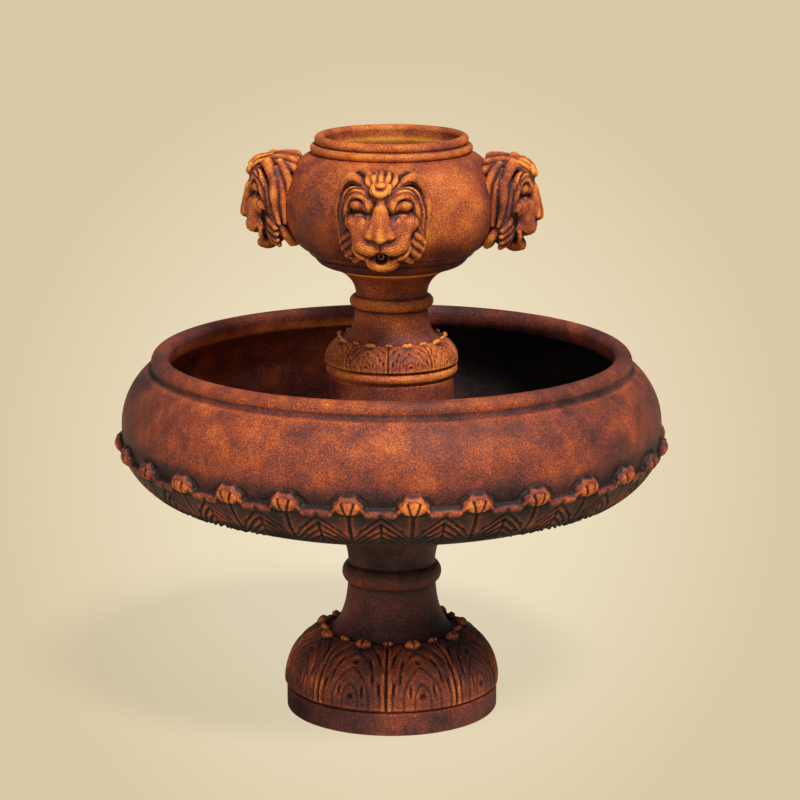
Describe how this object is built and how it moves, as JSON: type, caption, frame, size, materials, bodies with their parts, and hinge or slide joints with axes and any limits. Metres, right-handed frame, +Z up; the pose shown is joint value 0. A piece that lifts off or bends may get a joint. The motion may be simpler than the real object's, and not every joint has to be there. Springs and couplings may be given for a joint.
{
  "type": "garden fountain",
  "caption": "Stacked stone garden fountain: waisted pedestal, wide leaf-banded basin, pump riser, upper pedestal and a rimmed urn whose lion heads spout into the basin.",
  "frame": {"origin": "centre of the plinth's underside, on the ground", "axes": "+Z up along the middle of the castings, -Y out through the front lion's mouth, +X to the viewer's right"},
  "size_m": [1.2408, 1.2408, 1.3195],
  "materials": {
    "dark_stone": "matt cast stone, dark maroon patina",
    "rust_stone": "matt cast stone, mottled rust patina",
    "gold_stone": "matt cast stone, ochre patina on raised carving",
    "copper": "tarnished copper tube",
    "brass": "turned brass",
    "clamp_steel": "stainless strip",
    "pump_plastic": "black moulded plastic",
    "soft_rubber": "matt black rubber",
    "vinyl_hose": "clear vinyl, slightly clouded",
    "rotor_magnet": "moulded ferrite",
    "ceramic": "polished ceramic"
  },
  "bodies": {
    "fountain": {"lower_pedestal": "dark_stone", "basin": "rust_stone", "pump_riser": "dark_stone", "upper_pedestal": "rust_stone", "urn": "rust_stone", "lion_head_front": "gold_stone", "lion_head_right": "gold_stone", "lion_head_back": "gold_stone", "lion_head_left": "gold_stone", "spout_tube_front": "copper", "spout_tube_right": "copper", "spout_tube_back": "copper", "spout_tube_left": "copper", "urn_fitting": "brass", "urn_fitting_nut": "brass", "urn_fitting_washer": "soft_rubber", "supply_hose": "vinyl_hose", "hose_clamp_lower": "clamp_steel", "hose_clamp_upper": "clamp_steel", "pump_body": "pump_plastic", "pump_volute_cover": "pump_plastic", "pump_strainer": "pump_plastic", "pump_outlet_adapter": "pump_plastic", "pump_shaft": "ceramic", "pump_bush_front": "ceramic", "pump_bush_rear": "ceramic", "pump_cable_gland": "soft_rubber", "pump_foot_1": "soft_rubber", "pump_foot_2": "soft_rubber", "pump_foot_3": "soft_rubber", "pump_foot_4": "soft_rubber"},
    "rotor": {"pump_impeller": "pump_plastic", "pump_rotor_magnet": "rotor_magnet"},
    "flow_control": {"flow_control_dial": "pump_plastic"},
    "stopper": {"drain_stopper": "soft_rubber"}
  },
  "joints": [
    {"name": "pump_rotor_spin", "type": "hinge", "parent": "fountain", "child": "rotor", "pos_m": [0, 0.06, 0.5463], "axis": [1, 0, 0], "continuous": true},
    {"name": "flow_control_turn", "type": "hinge", "parent": "fountain", "child": "flow_control", "pos_m": [-0.0586, 0.06, 0.5463], "axis": [1, 0, 0], "range_deg": [0, 90]},
    {"name": "drain_stopper_pull", "type": "slide", "parent": "fountain", "child": "stopper", "axis": [0, 0, 1], "range_m": [0, 0.035]}
  ]
}
